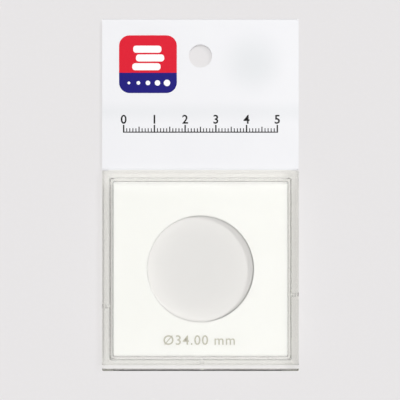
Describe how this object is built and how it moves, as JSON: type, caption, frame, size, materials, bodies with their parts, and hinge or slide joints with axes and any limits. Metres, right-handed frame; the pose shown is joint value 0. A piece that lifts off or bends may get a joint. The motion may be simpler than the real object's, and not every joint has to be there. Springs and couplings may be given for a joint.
{
  "type": "coin holder",
  "caption": "Clear square friction-fit plastic case with a white insert plate that holds one round coin by its edge, and a white folded hang header with a round peg hole.",
  "frame": {"origin": "on the axis of the coin hole, at the case's back face, on which the case lies", "axes": "+X to the right seen from the front, +Y towards the header, +Z out of the front window"},
  "size_m": [0.064, 0.1141, 0.0063],
  "materials": {
    "clear_plastic": "clear, polished moulding",
    "white_plastic": "satin white sheet",
    "white_card": "coated white card, glossy, printed",
    "adhesive": "translucent adhesive tape"
  },
  "bodies": {
    "case": {"back_shell": "clear_plastic", "header_base": "white_card", "header_tape": "adhesive"},
    "lid": {"front_shell": "clear_plastic"},
    "insert": {"coin_insert": "white_plastic"},
    "header": {"header_panel": "white_card"}
  },
  "joints": [
    {"name": "lid_lift", "type": "slide", "parent": "case", "child": "lid", "axis": [0, 0, 1], "range_m": [0, 0.024]},
    {"name": "insert_lift", "type": "slide", "parent": "case", "child": "insert", "axis": [0, 0, 1], "range_m": [0, 0.012]},
    {"name": "header_crease", "type": "hinge", "parent": "case", "child": "header", "pos_m": [0, 0.03293, 0.00237], "axis": [1, 0, 0], "range_deg": [-90, 90], "stiffness_Nm_per_rad": 0.03}
  ],
  "couplings": [
    {"joint": "insert_lift", "follows": "lid_lift", "ratio": 0.5}
  ]
}
